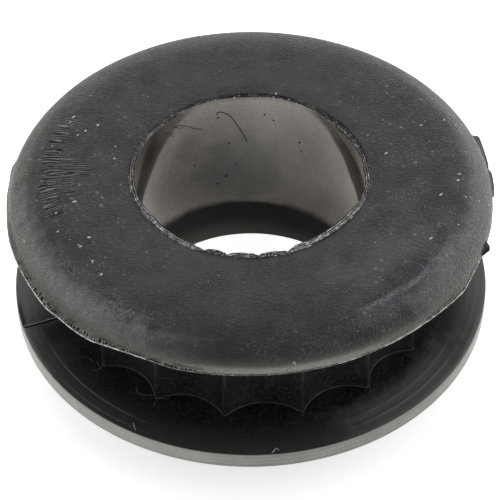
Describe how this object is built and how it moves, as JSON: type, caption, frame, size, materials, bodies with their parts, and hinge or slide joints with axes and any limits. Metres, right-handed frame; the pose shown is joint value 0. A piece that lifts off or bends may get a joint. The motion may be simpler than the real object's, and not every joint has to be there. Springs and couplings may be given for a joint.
{
  "type": "shifter cable bushing",
  "caption": "One-piece black rubber bushing with a broad rounded flange, a fluted waist in a groove, a thin flange over a tapered nose, and a plain bore.",
  "frame": {"origin": "centre of the flat end of the nose, which is the part's lowest face", "axes": "+Z along the bore from the nose to the upper flange; X and Y lie across the bore, with the middle of one flute 19.4 degrees past +X"},
  "size_m": [0.025, 0.025, 0.0109],
  "materials": {
    "rubber": "matte, glossy in the bore and on the lower flange"
  },
  "bodies": {
    "root": {"bushing": "rubber"}
  },
  "joints": []
}
